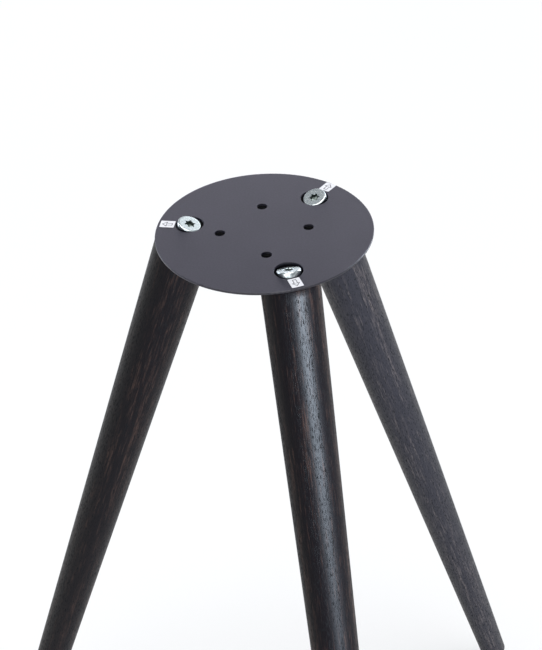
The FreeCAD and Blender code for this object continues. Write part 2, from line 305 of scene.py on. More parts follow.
def level_ring(centre, radius, level, turn):
    """A level ring whose first point lies at a given turn, to match the leg's sections."""
    return np.stack([centre[0] + radius * np.cos(turn), centre[1] + radius * np.sin(turn),
                     np.full(SEGMENTS, level)], axis=1)


def leg_piece(axis):
    leg = Leg(axis)
    under = PLATE_UNDERSIDE
    seat = np.array(middle(f"leg_seat_{axis.number}"))
    seat_low, seat_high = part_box(f"leg_seat_{axis.number}")
    turn = angles() + math.atan2(axis.out.y, axis.out.x)
    wall = level_ring(seat, (seat_high.x - seat_low.x) / 2 + SEAT_ROOM, under, turn)
    floor_point, normal = np.array(axis.at(POCKET_FLOOR)), np.array(axis.up)
    floor = wall.copy()
    floor[:, 2] = floor_point[2] - ((wall[:, :2] - floor_point[:2]) @ normal[:2]) / normal[2]
    rings = [leg.bore(SCREW_BORE, SCREW_BORE_END), leg.bore(SCREW_BORE, INSERT_BORE_END),
             leg.bore(INSERT_BORE, INSERT_BORE_END), leg.bore(INSERT_BORE, POCKET_FLOOR), floor, wall]
    rings.append(leg.relieved(leg.section(under, LEG_UPPER_BEVEL)))
    rings.append(leg.relieved(leg.section(under - LEG_UPPER_BEVEL)))
    rings.append(leg.relieved(leg.section(under - RELIEF_DEPTH)))
    rings.append(leg.section(under - RELIEF_DEPTH))
    for level in np.linspace(under - FIRST_SLICE, LEG_BOTTOM + LEG_LOWER_ROUND, LEG_SLICES):
        rings.append(leg.section(level))
    for inset, rise in rounding(0, 0, 1, 0, -90, 5)[1:]:
        rings.append(leg.section(LEG_BOTTOM + LEG_LOWER_ROUND * (1 + rise), LEG_LOWER_ROUND * (1 - inset)))
    for radius, rise in ((FOOT_BORE, 0), (FOOT_BORE, FOOT_BORE_TOP),
                         (STUD_BORE, FOOT_BORE_TOP), (STUD_BORE, STUD_BORE_TOP)):
        rings.append(level_ring(axis.foot, radius, LEG_BOTTOM + rise, turn))
    piece = skin(f"turned_leg_{axis.number}", rings, matrix=axis.matrix)
    return stand_for(piece, f"leg_{axis.number}", "stand")


LEG_PIECES = {number: leg_piece(axis) for number, axis in AXES.items()}
print("legs:", len(LEG_PIECES), "with", len(LEG_PIECES[1].data.polygons), "faces each")

# %% [markdown]
# ## Threads
# A thread is a cylinder whose radius rises and falls with a phase, and the phase is the height in
# pitches less the turn in whole turns. Eight rings to a pitch are enough for flanks and crests to
# read as cut metal. The depth fades out at both ends, as it does where a tool runs out. A bump
# in the material would look the same from far off, but its outline would stay straight.

# %% Rings of a screw thread
RINGS_PER_PITCH = 8
THREAD_DEPTH = 0.61     # of the pitch
CREST = 0.2             # shares of half a turn: the flat crest, and the sloping flank
FLANK = 0.6


def thread_rings(radius, pitch, low, high, runout=0.8):
    """Rings of a right-hand thread from low to high, about the z axis."""
    rings = []
    for height in np.arange(low, high, pitch / RINGS_PER_PITCH):
        phase = (height / pitch - angles() / (2 * math.pi)) % 1
        flank = np.clip((np.abs(2 * phase - 1) - CREST) / FLANK, 0, 1)
        fade = min(1, (height - low) / (runout * pitch), (high - height) / (runout * pitch))
        rings.append(ring(radius - THREAD_DEPTH * pitch * max(fade, 0) * flank, height))
    return rings


print("rings in ten turns:", len(thread_rings(4 * MM, 1.25 * MM, 0, 12.5 * MM)))

# %% [markdown]
# ## Hexagons
# Nuts and the studs' collars are cut from hexagonal bar, and a tool takes off their corners at 30
# degrees. Where the cone of that cut is smaller than the hexagon, the ring follows the cone, and
# elsewhere it follows the flats. That gives the curved edges of a real nut with no Boolean.

# %% Rings of a hexagonal bar
HEX_BEVEL = math.radians(30)
BEVEL_CIRCLE = 0.475    # of the width across flats


def hexagon_radius(across_flats):
    """A hexagon's radius at each angle."""
    sixth = math.pi / 3
    return across_flats / 2 / np.cos((angles() + sixth / 2) % sixth - sixth / 2)


def hexagon_rings(across_flats, low, high, bevel_steps=5):
    """A hexagonal bar's rings, its corners bevelled at both ends."""
    corner = across_flats / math.sqrt(3)
    flat = BEVEL_CIRCLE * across_flats
    drop = (corner - flat) * math.tan(HEX_BEVEL)
    rings = []
    for share in np.linspace(0, 1, bevel_steps):
        cone = flat + (corner - flat) * share
        rings.append(ring(np.minimum(hexagon_radius(across_flats), cone), low + drop * share))
    return rings + [mirrored(one, low + high) for one in reversed(rings)]


def mirrored(points, twice_level):
    """The same ring at the height that faces it across a level."""
    other = points.copy()
    other[:, 2] = twice_level - points[:, 2]
    return other


print("rings in a hexagonal bar:", len(hexagon_rings(13 * MM, 0, 5 * MM)))

# %% [markdown]
# ## The leg screws
# The large flat heads are what the eye goes to first. The socket is a star with six round lobes
# and six round hollows, each tangent to the next, so the radius at any angle is a distance from
# the centre to one of two circles. A star cut with a Boolean would leave ragged faces round its
# lobes, and the head's shine would show them.

# %% Shape the socket
SOCKET_TIP = 4.415 * MM
SOCKET_ROOT = 3.18 * MM
SOCKET_LOBE = 0.75 * MM


def socket_radius(turn):
    """The six-lobed star's radius at each angle, turned by some degrees."""
    sixth = math.pi / 3
    lobe_centre = SOCKET_TIP - SOCKET_LOBE
    hollow = ((SOCKET_LOBE ** 2 - lobe_centre ** 2 - SOCKET_ROOT ** 2
               + 2 * lobe_centre * SOCKET_ROOT * math.cos(sixth / 2))
              / (2 * SOCKET_ROOT - 2 * lobe_centre * math.cos(sixth / 2) - 2 * SOCKET_LOBE))
    hollow_centre = SOCKET_ROOT + hollow
    off_lobe = np.abs((angles() - math.radians(turn) + sixth / 2) % sixth - sixth / 2)
    off_hollow = sixth / 2 - off_lobe
    on_lobe = lobe_centre * np.cos(off_lobe) + np.sqrt(
        np.maximum(SOCKET_LOBE ** 2 - (lobe_centre * np.sin(off_lobe)) ** 2, 0))
    on_hollow = hollow_centre * np.cos(off_hollow) - np.sqrt(
        np.maximum(hollow ** 2 - (hollow_centre * np.sin(off_hollow)) ** 2, 0))
    touch = math.atan2((hollow_centre * SOCKET_LOBE * math.sin(sixth / 2)),
                       lobe_centre * hollow + hollow_centre * SOCKET_LOBE * math.cos(sixth / 2))
    return np.where(off_lobe < touch, on_lobe, on_hollow)


print(f"socket: {socket_radius(0).max() * 2 / MM:.2f} mm over its lobes")

# %% [markdown]
# ## Heads and shanks
# The socket's mouth has a bevel and its bottom a shallow drill point. The head's rim is well
# rounded, as on a cold-formed and plated screw. The rings run from the drill point up the socket,
# over the head and down the thread, and the last one closes the tip.

# %% Form the screws
HEAD_RADIUS = 10.0 * MM
HEAD_HEIGHT = 6.5 * MM
HEAD_RISE = 0.9 * MM
HEAD_ROUND = 1.1 * MM
HEAD_LOWER_ROUND = 0.4 * MM
SHANK_RADIUS = 5.0 * MM
SHANK_LENGTH = 35.0 * MM
SHANK_PITCH = 1.5 * MM
SHANK_FILLET = 0.3 * MM
PLAIN_SHANK = 3 * MM
TIP_BEVEL = 1.0 * MM
SOCKET_DEPTH = 3.6 * MM
SOCKET_BEVEL = 0.35 * MM
SOCKET_LIP = 0.05 * MM
SOCKET_FLOOR = 0.8              # of the star's radius
SOCKET_FLOOR_ROUND = 0.2 * MM
SOCKET_TURNS = {1: 12.0, 2: 40.0, 3: 3.0}
DRILL_RADIUS, DRILL_DEPTH = 0.6 * MM, 0.5 * MM
FACE_INNER, FACE_OUTER = 0.3 * MM, 0.6 * MM     # the flat face stands off the star and the rim


def screw_rings(number):
    star = socket_radius(SOCKET_TURNS[number])
    rings = [ring(DRILL_RADIUS, -SOCKET_DEPTH - DRILL_DEPTH), ring(SOCKET_FLOOR * star, -SOCKET_DEPTH),
             ring(star, -SOCKET_DEPTH + SOCKET_FLOOR_ROUND), ring(star, -SOCKET_BEVEL),
             ring(star + SOCKET_BEVEL * 0.9, -SOCKET_LIP), ring(star + SOCKET_BEVEL, 0)]
    rings.append(ring(SOCKET_TIP + SOCKET_BEVEL + FACE_INNER, 0))
    rings.append(ring(HEAD_RADIUS - HEAD_ROUND - FACE_OUTER, 0))
    for radius, height in rounding(HEAD_RADIUS - HEAD_ROUND, -HEAD_ROUND, HEAD_ROUND, 90, 0, 8):
        rings.append(ring(radius, height))
    for radius, height in rounding(HEAD_RADIUS - HEAD_LOWER_ROUND, HEAD_LOWER_ROUND - HEAD_HEIGHT,
                                   HEAD_LOWER_ROUND, 0, -90, 4):
        rings.append(ring(radius, height))
    rings.append(ring(SHANK_RADIUS + SHANK_FILLET, -HEAD_HEIGHT))
    rings.append(ring(SHANK_RADIUS, -HEAD_HEIGHT - SHANK_FILLET))
    tip = -HEAD_HEIGHT - SHANK_LENGTH
    rings += reversed(thread_rings(SHANK_RADIUS, SHANK_PITCH, tip + TIP_BEVEL, -HEAD_HEIGHT - PLAIN_SHANK))
    rings.append(ring(SHANK_RADIUS - TIP_BEVEL, tip))
    return rings


def leg_screw(axis):
    matrix = axis.matrix @ Matrix.Translation((0, 0, HEAD_RISE))
    piece = skin(f"pan_head_screw_{axis.number}", screw_rings(axis.number))
    piece.matrix_world = matrix
    return stand_for(piece, f"leg_screw_{axis.number}", "stand")


SCREW_PIECES = {number: leg_screw(axis) for number, axis in AXES.items()}
print("screws:", len(SCREW_PIECES), "with", len(SCREW_PIECES[1].data.polygons), "faces each")

# %% [markdown]
# ## Nuts
# A nut is a hollow piece: a hexagon outside, a thread inside, and flat ends that join them. Four
# weld nuts sit under the plate's small holes, and one locknut sits under each leg. The rings run
# up the outside and down the bore, and the last one meets the first, so a nut is as open as it
# should be and still one closed skin.

# %% Make the nuts
M8_RADIUS = 4.05 * MM
M8_PITCH = 1.25 * MM
NUT_MOUTH, NUT_MOUTH_DEPTH = 0.35 * MM, 0.4 * MM
NUT_THREAD_GAP = 0.12 * MM
NUT_THREAD_SHARE = 0.6 / THREAD_DEPTH       # its turns are that much closer and shallower
WELD_NUT_FLATS = 14.0 * MM
LOCKNUT_FLATS = 13.0 * MM


def nut(name, node, across_flats, body, slot):
    low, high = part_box(node)
    height = high.z - low.z
    outside = hexagon_rings(across_flats, 0, height)
    mouth = M8_RADIUS + NUT_MOUTH
    thread = thread_rings(M8_RADIUS + NUT_THREAD_GAP, M8_PITCH * NUT_THREAD_SHARE,
                          NUT_MOUTH_DEPTH, height - NUT_MOUTH_DEPTH)
    inside = [ring(mouth, height), ring(M8_RADIUS, height - NUT_MOUTH_DEPTH)]
    inside += reversed(thread)
    inside += [ring(M8_RADIUS, NUT_MOUTH_DEPTH), ring(mouth, 0)]
    piece = skin(name, outside + inside, hollow=True)
    piece.location = ((low.x + high.x) / 2, (low.y + high.y) / 2, low.z)
    return stand_for(piece, node, body)


NUT_PIECES = [nut(f"weld_nut_{number}", f"mount_nut_{number}", WELD_NUT_FLATS, "stand", "plate_coat")
              for number in HEAD_NUTS]
LOCKNUT_PIECES = [nut(f"locknut_{number}", f"foot_locknut_{number}", LOCKNUT_FLATS, "stand", "zinc_steel")
                  for number in LEGS]
print("nuts:", len(NUT_PIECES) + len(LOCKNUT_PIECES))

# %% [markdown]
# ## Levelling feet
# Each foot is a threaded stud with a hexagonal collar for a spanner and a ball at its lower end.
# The ball snaps into a black moulded base with a rubber pad, so the pad lies flat on a floor that
# isn't level. When a foot is screwed out, its thread comes into view, so the thread is cut in
# full.

# %% Turn the studs
BALL_RADIUS = 5.5 * MM
NECK_RADIUS = 3.2 * MM
NECK_FILLET = 0.4 * MM
COLLAR_LOW, COLLAR_HIGH = 8.2 * MM, 13.2 * MM       # above the ball's centre
COLLAR_FLATS = 13.0 * MM
STUD_RADIUS = 4.0 * MM
STUD_TIP_RADIUS, STUD_TIP_LENGTH = 3.2 * MM, 0.8 * MM
UNDERCUT = ((3.6 * MM, 0), (3.45 * MM, 0.3 * MM))   # radius, and rise above the collar
THREAD_START = 0.5 * MM


def foot_stud(number):
    low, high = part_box(f"foot_stud_{number}")
    collar_low, collar_high = BALL_RADIUS + COLLAR_LOW, BALL_RADIUS + COLLAR_HIGH
    top = high.z - low.z
    rings = []
    for turn in np.radians(np.linspace(-89, 54, 26)):
        rings.append(ring(BALL_RADIUS * math.cos(turn), BALL_RADIUS + BALL_RADIUS * math.sin(turn)))
    neck_start = BALL_RADIUS + math.sqrt(BALL_RADIUS ** 2 - NECK_RADIUS ** 2) + 0.1 * MM
    rings.append(ring(NECK_RADIUS, neck_start))
    rings.append(ring(NECK_RADIUS, collar_low - NECK_FILLET))
    rings.append(ring(NECK_RADIUS + NECK_FILLET, collar_low))
    rings += hexagon_rings(COLLAR_FLATS, collar_low, collar_high)
    for radius, rise in UNDERCUT:
        rings.append(ring(radius, collar_high + rise))
    rings += thread_rings(STUD_RADIUS, M8_PITCH, collar_high + THREAD_START, top - STUD_TIP_LENGTH)
    rings.append(ring(STUD_TIP_RADIUS, top))
    piece = skin(f"levelling_stud_{number}", rings)
    piece.location = ((low.x + high.x) / 2, (low.y + high.y) / 2, low.z)
    return stand_for(piece, f"foot_stud_{number}", f"foot_{number}_stud")


STUD_PIECES = [foot_stud(number) for number in LEGS]
print("studs:", len(STUD_PIECES), "with", len(STUD_PIECES[0].data.polygons), "faces each")

# %% [markdown]
# ## Moulded bases
# A moulded part has soft edges and an even wall, and ribs stiffen its cone. Twelve ribs could be
# separate wedges, but then each would need a fillet. Here the cone's height sinks between the
# ribs by a power of a cosine, so ribs and hollows flow into each other as plastic does.

# %% Mould the bases
RIBS = 12
RIB_SHARPNESS = 3
RIB_HOLLOW = 1.1 * MM
BASE_FOOT_ROUND = 1.0 * MM
BASE_SHOULDER_ROUND, BASE_SHOULDER_RISE = 1.5 * MM, 2.6 * MM
CONE_INSET, CONE_RISE = 1.2 * MM, 4.0 * MM
LIP_ROUND = 1.0 * MM
LIP_RADIUS = 9.4 * MM
CUP_RADIUS, CUP_RISE = 5.56 * MM, 7.0 * MM
CUP_MOUTH, CUP_MOUTH_BEVEL = 4.8 * MM, 5.9 * MM


def foot_base(number):
    low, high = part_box(f"foot_base_{number}")
    rim = (high.x - low.x) / 2
    lip = high.z - low.z
    rib = 0.5 + 0.5 * np.cos(RIBS * angles())
    rings = [ring(rim - BASE_FOOT_ROUND, 0)]
    rounds = rounding(rim - BASE_FOOT_ROUND, BASE_FOOT_ROUND, BASE_FOOT_ROUND, -90, 0, 5)
    rounds += rounding(rim - BASE_SHOULDER_ROUND, BASE_SHOULDER_RISE, BASE_SHOULDER_ROUND, 0, 62, 6)
    rings += [ring(*pair) for pair in rounds]
    for share in np.linspace(0.08, 1, 10):
        radius = rim - CONE_INSET + (LIP_RADIUS - rim + CONE_INSET) * share
        level = CONE_RISE + (lip - LIP_ROUND - CONE_RISE) * share
        hollow = RIB_HOLLOW * math.sin(math.pi * share)
        rings.append(ring(radius, level - hollow * (1 - rib ** RIB_SHARPNESS)))
    rings += [ring(*pair) for pair in rounding(LIP_RADIUS - LIP_ROUND, lip - LIP_ROUND, LIP_ROUND, 20, 90, 5)]
    rings.append(ring(CUP_MOUTH_BEVEL, lip))
    for turn in np.radians(np.linspace(math.degrees(math.acos(CUP_MOUTH / CUP_RADIUS)), -89, 20)):
        rings.append(ring(CUP_RADIUS * math.cos(turn), CUP_RISE + CUP_RADIUS * math.sin(turn)))
    piece = skin(f"swivel_base_{number}", rings)
    piece.location = ((low.x + high.x) / 2, (low.y + high.y) / 2, low.z)
    return stand_for(piece, f"foot_base_{number}", f"foot_{number}_base")


BASE_PIECES = [foot_base(number) for number in LEGS]
print("bases:", len(BASE_PIECES), "with", len(BASE_PIECES[0].data.polygons), "faces each")

# %% [markdown]
# ## Rubber pads
# The pad is a thick disc with two round grooves in its sole, for grip. Grooves cut by a Boolean
# would need repair, while a groove in a turned profile is six more rings.

# %% Mould the pads
PAD_TOP_ROUND, PAD_SOLE_ROUND = 0.5 * MM, 1.2 * MM
GROOVES = (0.72, 0.42)      # outer radii, as shares of the pad's
GROOVE_WIDTH, GROOVE_DEPTH = 1.6 * MM, 1.0 * MM
GROOVE_BEVEL, GROOVE_DRAFT = 0.2 * MM, 0.15 * MM


def foot_pad(number):
    low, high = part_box(f"foot_pad_{number}")
    radius, height = (high.x - low.x) / 2, high.z - low.z
    rings = [ring(radius - PAD_TOP_ROUND, height)]
    rounds = rounding(radius - PAD_TOP_ROUND, height - PAD_TOP_ROUND, PAD_TOP_ROUND, 90, 0, 4)
    rounds += rounding(radius - PAD_SOLE_ROUND, PAD_SOLE_ROUND, PAD_SOLE_ROUND, 0, -90, 6)
    rings += [ring(*pair) for pair in rounds]
    for outer in [share * radius for share in GROOVES]:
        inner = outer - GROOVE_WIDTH
        rings += [ring(outer + GROOVE_BEVEL, 0), ring(outer, GROOVE_BEVEL),
                  ring(outer - GROOVE_DRAFT, GROOVE_DEPTH), ring(inner + GROOVE_DRAFT, GROOVE_DEPTH),
                  ring(inner, GROOVE_BEVEL), ring(inner - GROOVE_BEVEL, 0)]
    piece = skin(f"rubber_pad_{number}", rings)
    piece.location = ((low.x + high.x) / 2, (low.y + high.y) / 2, low.z)
    return stand_for(piece, f"foot_pad_{number}", f"foot_{number}_base")


PAD_PIECES = [foot_pad(number) for number in LEGS]
print("pads:", len(PAD_PIECES), "with", len(PAD_PIECES[0].data.polygons), "faces each")

# %% [markdown]
# ## Stickers
# A small white sticker beside each screw points outward. A sticker is never quite flat: its
# corners lift a little where the glue lets go, so the edge catches the light. It could be a plain
# plane, but then it would have no edge. It is drawn as rounded rectangles, stacked like any other
# piece. Which way it points is read from the design: the longest direction of its corners, taken
# the way that leads outward.

# %% Cut the stickers
STICKER_CORNER = 0.6 * MM
STICKER_GAP = 0.02 * MM
STICKER_LIFT = 0.18 * MM
LIFT_START = 0.35           # 0 at the sticker's middle lines, 1 at its corners
TINY = 1e-9                 # keeps a division away from zero


def sticker_outline(length, width, share):
    """A rounded rectangle's points, shrunk about its middle, one for each angle."""
    turn = angles()
    half = np.array([length / 2, width / 2]) * share - STICKER_CORNER
    corner = np.stack([np.sign(np.cos(turn)), np.sign(np.sin(turn))], axis=1)
    reach = np.minimum(length / 2 * share / np.maximum(np.abs(np.cos(turn)), TINY),
                       width / 2 * share / np.maximum(np.abs(np.sin(turn)), TINY))
    points = np.stack([reach * np.cos(turn), reach * np.sin(turn)], axis=1)
    past = points - corner * half
    outside = (past * corner > 0).all(axis=1)
    distance = np.maximum(np.hypot(past[:, 0], past[:, 1]), TINY)
    pulled = corner * half + past * np.minimum(1, STICKER_CORNER / distance)[:, None]
    points[outside] = pulled[outside]
    return points


def sticker(number):
    node = f"direction_label_{number}"
    points = np.array([vertex.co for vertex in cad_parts[node].data.vertices])
    centre = points.mean(0)
    flat = points[:, :2] - centre[:2]
    along = np.linalg.eigh(flat.T @ flat)[1][:, 1]
    if along @ centre[:2] < 0:
        along = -along
    across = np.array([-along[1], along[0]])
    length, width = np.ptp(flat @ along), np.ptp(flat @ across)
    thickness = np.ptp(points[:, 2])
    rings = []
    for share, level in ((0.5, STICKER_GAP), (1.0, STICKER_GAP), (1.0, thickness), (0.97, thickness),
                         (0.8, thickness), (0.5, thickness), (0.2, thickness)):
        outline = sticker_outline(length, width, share)
        near_corner = np.abs(outline[:, 0]) / length * np.abs(outline[:, 1]) / width * 4
        lift = STICKER_LIFT * np.clip(near_corner - LIFT_START, 0, 1) ** 2
        rings.append(np.column_stack([outline, level + lift]))
    piece = skin(f"arrow_sticker_{number}", rings)
    turn = math.atan2(along[1], along[0])
    piece.matrix_world = Matrix.Translation((centre[0], centre[1], PLATE_TOP)) @ Matrix.Rotation(turn, 4, "Z")
    return stand_for(piece, node, "stand")


STICKER_PIECES = [sticker(number) for number in LEGS]

# %% [markdown]
# ## Writing a finish as arithmetic
# A finish is a small formula: mix two colours by a mask, make the roughness follow the grain, and
# so on. Wiring that up by hand hides the formula, so a Field wraps one node output and takes
# part in ordinary sums. Adding two fields adds a Math node. A number may also come first, as in
# 1 - mask: Python then calls the reflected form, which puts the number in the first input.

# %% Fields


def operator(operation, swapped=False):
    """A method that adds one Math node; swapped puts the other value first."""
    def act(self, other):
        return self.maths(operation, *((other, self) if swapped else (self, other)))
    return act


class Field:
    """A value that changes over a surface: one output of a shader node."""

    def __init__(self, finish, socket):
        self.finish, self.socket = finish, socket

    def maths(self, operation, *values):
        return self.finish.node("Math", {"operation": operation}, dict(enumerate(values)))

    __add__ = operator("ADD")
    __radd__ = operator("ADD", swapped=True)
    __sub__ = operator("SUBTRACT")
    __rsub__ = operator("SUBTRACT", swapped=True)
    __mul__ = operator("MULTIPLY")
    __rmul__ = operator("MULTIPLY", swapped=True)
    __truediv__ = operator("DIVIDE")
    __rtruediv__ = operator("DIVIDE", swapped=True)
    __pow__ = operator("POWER")
    __rpow__ = operator("POWER", swapped=True)
    __lt__ = operator("LESS_THAN")
    __gt__ = operator("GREATER_THAN")
    least = operator("MINIMUM")
    most = operator("MAXIMUM")

    def __abs__(self):
        return self.maths("ABSOLUTE", self)

    def sine(self):
        return self.maths("SINE", self)

    def root(self):
        return self.maths("SQRT", self)

    def step(self, low, high):
        """0 up to low, 1 from high on, and a smooth rise between them."""
        return self.finish.node("MapRange", {"interpolation_type": "SMOOTHSTEP"},
                                {"Value": self, "From Min": low, "From Max": high})


print("sums that may start with a number:", sum(1 for name in vars(Field) if name.startswith("__r")))

# %% [markdown]
# ## Finishes
# A Finish holds one material. Every node in it comes from one method, which sets the node's
# options first and then its inputs. Constants go straight to the shader's own sockets, so they
# also survive an export. Depths are real metres, and a bump's depth is given in metres.

# %% Finishes


class Finish:
    """A material, made from a Principled shader and the fields that feed it."""

    def __init__(self, name, **constants):
        self.material = bpy.data.materials.new(name)
        self.material.use_nodes = True
        self.tree = self.material.node_tree
        self.shader = self.tree.nodes["Principled BSDF"]
        for socket, value in constants.items():
            self.shader.inputs[socket.replace("_", " ")].default_value = value

    def feed(self, socket, value):
        if isinstance(value, Field):
            self.tree.links.new(value.socket, socket)
        else:
            socket.default_value = value

    def node(self, kind, settings=None, sockets=None, output=0):
        made = self.tree.nodes.new("ShaderNode" + kind)
        for name, value in (settings or {}).items():
            setattr(made, name, value)
        for name, value in (sockets or {}).items():
            self.feed(made.inputs[name], value)
        return Field(self, made.outputs[output])

    def place(self, scale=(1, 1, 1), shift=(0, 0, 0)):
        """The point on the piece, in its own axes, scaled and shifted."""
        own = self.node("TexCoord", output="Object")
        return self.node("Mapping", {}, {"Vector": own, "Scale": scale, "Location": shift})

    def split(self, point):
        made = self.tree.nodes.new("ShaderNodeSeparateXYZ")
        self.feed(made.inputs[0], point)
        return [Field(self, made.outputs[index]) for index in range(3)]

    def noise(self, point, scale=1.0, detail=3.0, rough=0.55):
        return self.node("TexNoise", {}, {"Vector": point, "Scale": scale, "Detail": detail,
                                          "Roughness": rough})

    def mix(self, mask, low, high):
        """A colour between two others."""
        return self.node("Mix", {"data_type": "RGBA"}, {0: mask, 6: low, 7: high}, output=2)

    def bump(self, height, depth, strength=1.0):
        """A normal from a height field; a swing from 0 to 1 is so many metres deep."""
        return self.node("Bump", {}, {"Height": height, "Distance": depth, "Strength": strength})

    def set(self, **fields):
        for socket, field in fields.items():
            self.feed(self.shader.inputs[socket.replace("_", " ")], field)
        return self.material


print("materials before any finish:", len(bpy.data.materials))

# %% [markdown]
# ## Powder coat
# The plate is sprayed with a fine matte powder that melts into a skin with a very small, even
# texture. The colour is a dark grey that leans to violet. Real displacement of so fine a skin
# would take millions of faces, so a bump does it, from fine pebbles about half a millimetre
# across. A mottle, a finer speckle and a soft cloud vary the colour. The pebbles and the cloud
# vary the gloss.

# %% Finish the plate


def powder_coat(name, dark, light, gloss_low, gloss_high, pebble_depth, shine=0.5):
    finish = Finish(name, Specular_IOR_Level=shine)
    point = finish.place()
    pebbles = finish.noise(point, 1900, 2.0, 0.6)
    speckle = finish.noise(point, 5200, 1.0, 0.5)
    cloud = finish.noise(point, 22, 3.0, 0.6)
    mottle = finish.noise(point, 620, 2.0, 0.6)
    tone = (0.25 * cloud + 0.25 * speckle + 0.5 * mottle).step(0.35, 0.65)
    return finish.set(Base_Color=finish.mix(tone, dark, light),
                      Roughness=gloss_low + (gloss_high - gloss_low) * (0.6 * pebbles + 0.4 * cloud),
                      Normal=finish.bump(pebbles, pebble_depth))


PLATE_COAT = powder_coat("plate_powder_coat", (0.0035, 0.0025, 0.0125, 1), (0.0150, 0.0130, 0.0270, 1),
                         0.38, 0.52, 0.00003, 0.66)
SEAT_COAT = powder_coat("seat_powder_coat", (0.008, 0.008, 0.011, 1), (0.014, 0.014, 0.018, 1),
                        0.16, 0.30, 0.00001)
# The weld nuts' black oxide is made near black, darker than the plate's coat, so it is also painted shade
# inside the plate's small holes.
NUT_OXIDE_AND_HOLE_SHADE = powder_coat("nut_black_oxide_and_hole_shade", (0.002, 0.002, 0.003, 1), (0.005, 0.005, 0.006, 1),
                       0.5, 0.7, 0.00002, 0.12)
print("coat nodes:", len(PLATE_COAT.node_tree.nodes))

# %% [markdown]
# ## Stained open-grain wood
# The legs are an open-grained hardwood under a near-black stain and a satin lacquer. Three things
# make it read as wood. Streaks of brown and black run the length of the leg, and finer fibres run
# with them. Pores open as short dashes, more strongly in one half of each growth layer, and there
# the lacquer sinks in, so they are darker, duller and a little below the surface. The piece's own
# z axis is the leg's axis, so squeezing the noise along z draws everything out along the grain.
# Leg 1 is painted a little lighter and greyer than the others: that is painted haze, a veil of
# light over that leg, not a different stain.

# %% Finish the legs
# Leg 1's two colours are made lighter and greyer as painted haze, a veil of light over that leg.
STAINS_AND_HAZE = {                      # the darkest and the brownest grain of each leg
    1: ((0.0078, 0.0070, 0.0086, 1), (0.034, 0.027, 0.025, 1)),
    2: ((0.0011, 0.0006, 0.0011, 1), (0.0160, 0.0086, 0.0066, 1)),
    3: ((0.0011, 0.0006, 0.0011, 1), (0.0210, 0.0108, 0.0080, 1)),
}
PORE_BLACK = (0.0006, 0.0006, 0.0008, 1)
WANDER = (9, 9, 1.6)             # how many swells to a metre: x, y, and along the leg
FIBRES = (1500, 1500, 60)
STREAKS = (560, 560, 30)
FIGURE = (90, 90, 3.0)
DASHES = (1650, 1650, 240)
LEG_SHIFT = (0.31, 0.17, 0.73)   # moves the patterns on from leg to leg
PITH = (-0.031, 0.012)           # the tree's middle, beside the leg
LAYER_SPACING = 4.2 * MM
LAYER_WANDER = 16 * MM
PORE_DEPTH = 0.04 * MM


def stained_wood(number):
    finish = Finish(f"stained_wood_{number}", Specular_IOR_Level=0.1)
    shift = tuple(step * number for step in LEG_SHIFT)
    across, aside, _ = finish.split(finish.place())
    wander = finish.noise(finish.place(WANDER, shift), 1.0, 2.0)
    pith = ((across - PITH[0]) ** 2.0 + (aside - PITH[1] * number) ** 2.0).root()
    layers = ((pith + LAYER_WANDER * wander) * (2 * math.pi / LAYER_SPACING)).sine() * 0.5 + 0.5
    fibres = finish.noise(finish.place(FIBRES, shift), 1.0, 3.0, 0.65)
    streaks = finish.noise(finish.place(STREAKS, shift), 1.0, 4.0, 0.65)
    figure = finish.noise(finish.place(FIGURE, shift), 1.0, 2.0)
    dashes = finish.noise(finish.place(DASHES, shift), 1.0, 1.0)
    pores = dashes.step(0.56, 0.62) * (0.55 + 0.45 * layers)
    tone = (0.40 * streaks + 0.34 * fibres + 0.26 * figure).step(0.49, 0.64)
    # For leg 1 these colours also carry the painted haze.
    dark, brown = STAINS_AND_HAZE[number]
    stain_and_haze = finish.mix(tone, dark, brown)
    colour = finish.mix(pores * 0.9, stain_and_haze, PORE_BLACK)
    height = 0.10 * fibres - pores
    return finish.set(Base_Color=colour, Roughness=0.36 + 0.06 * fibres + 0.45 * pores,
                      Normal=finish.bump(height, PORE_DEPTH, 0.8))


for number in LEGS:
    LEG_PIECES[number].data.materials.append(stained_wood(number))
print("wood nodes:", len(LEG_PIECES[1].data.materials[0].node_tree.nodes))

# %% [markdown]
# ## Bright zinc
# Zinc plating is a thin bright metal with a cool cast. It follows the turning marks under it, so
# the head shows faint circles, and it is a little cloudy, which spreads the shine unevenly. An
# anisotropic shader could stretch the shine, but it would show no marks. The socket's colour is
# darkened with its depth as the mask, which is painted shade for the dark down in the recess.

# %% Finish the screws and fittings
TURNING_MARKS = 0.42 * MM
MARK_DEPTH = 0.0012 * MM
SOCKET_RADIUS = SOCKET_TIP + SOCKET_BEVEL
# Depths in the socket where the painted shade begins and where it is full.
SHADE_START, SHADE_FULL = 0.12 * MM, 0.6 * MM      # depths in the socket
ZINC_DULL, ZINC_CLEAR = (0.62, 0.68, 0.70, 1), (0.76, 0.81, 0.81, 1)
# The colour of the painted shade deep in the socket.
SOCKET_PAINTED_SHADE = (0.13, 0.16, 0.145, 1)


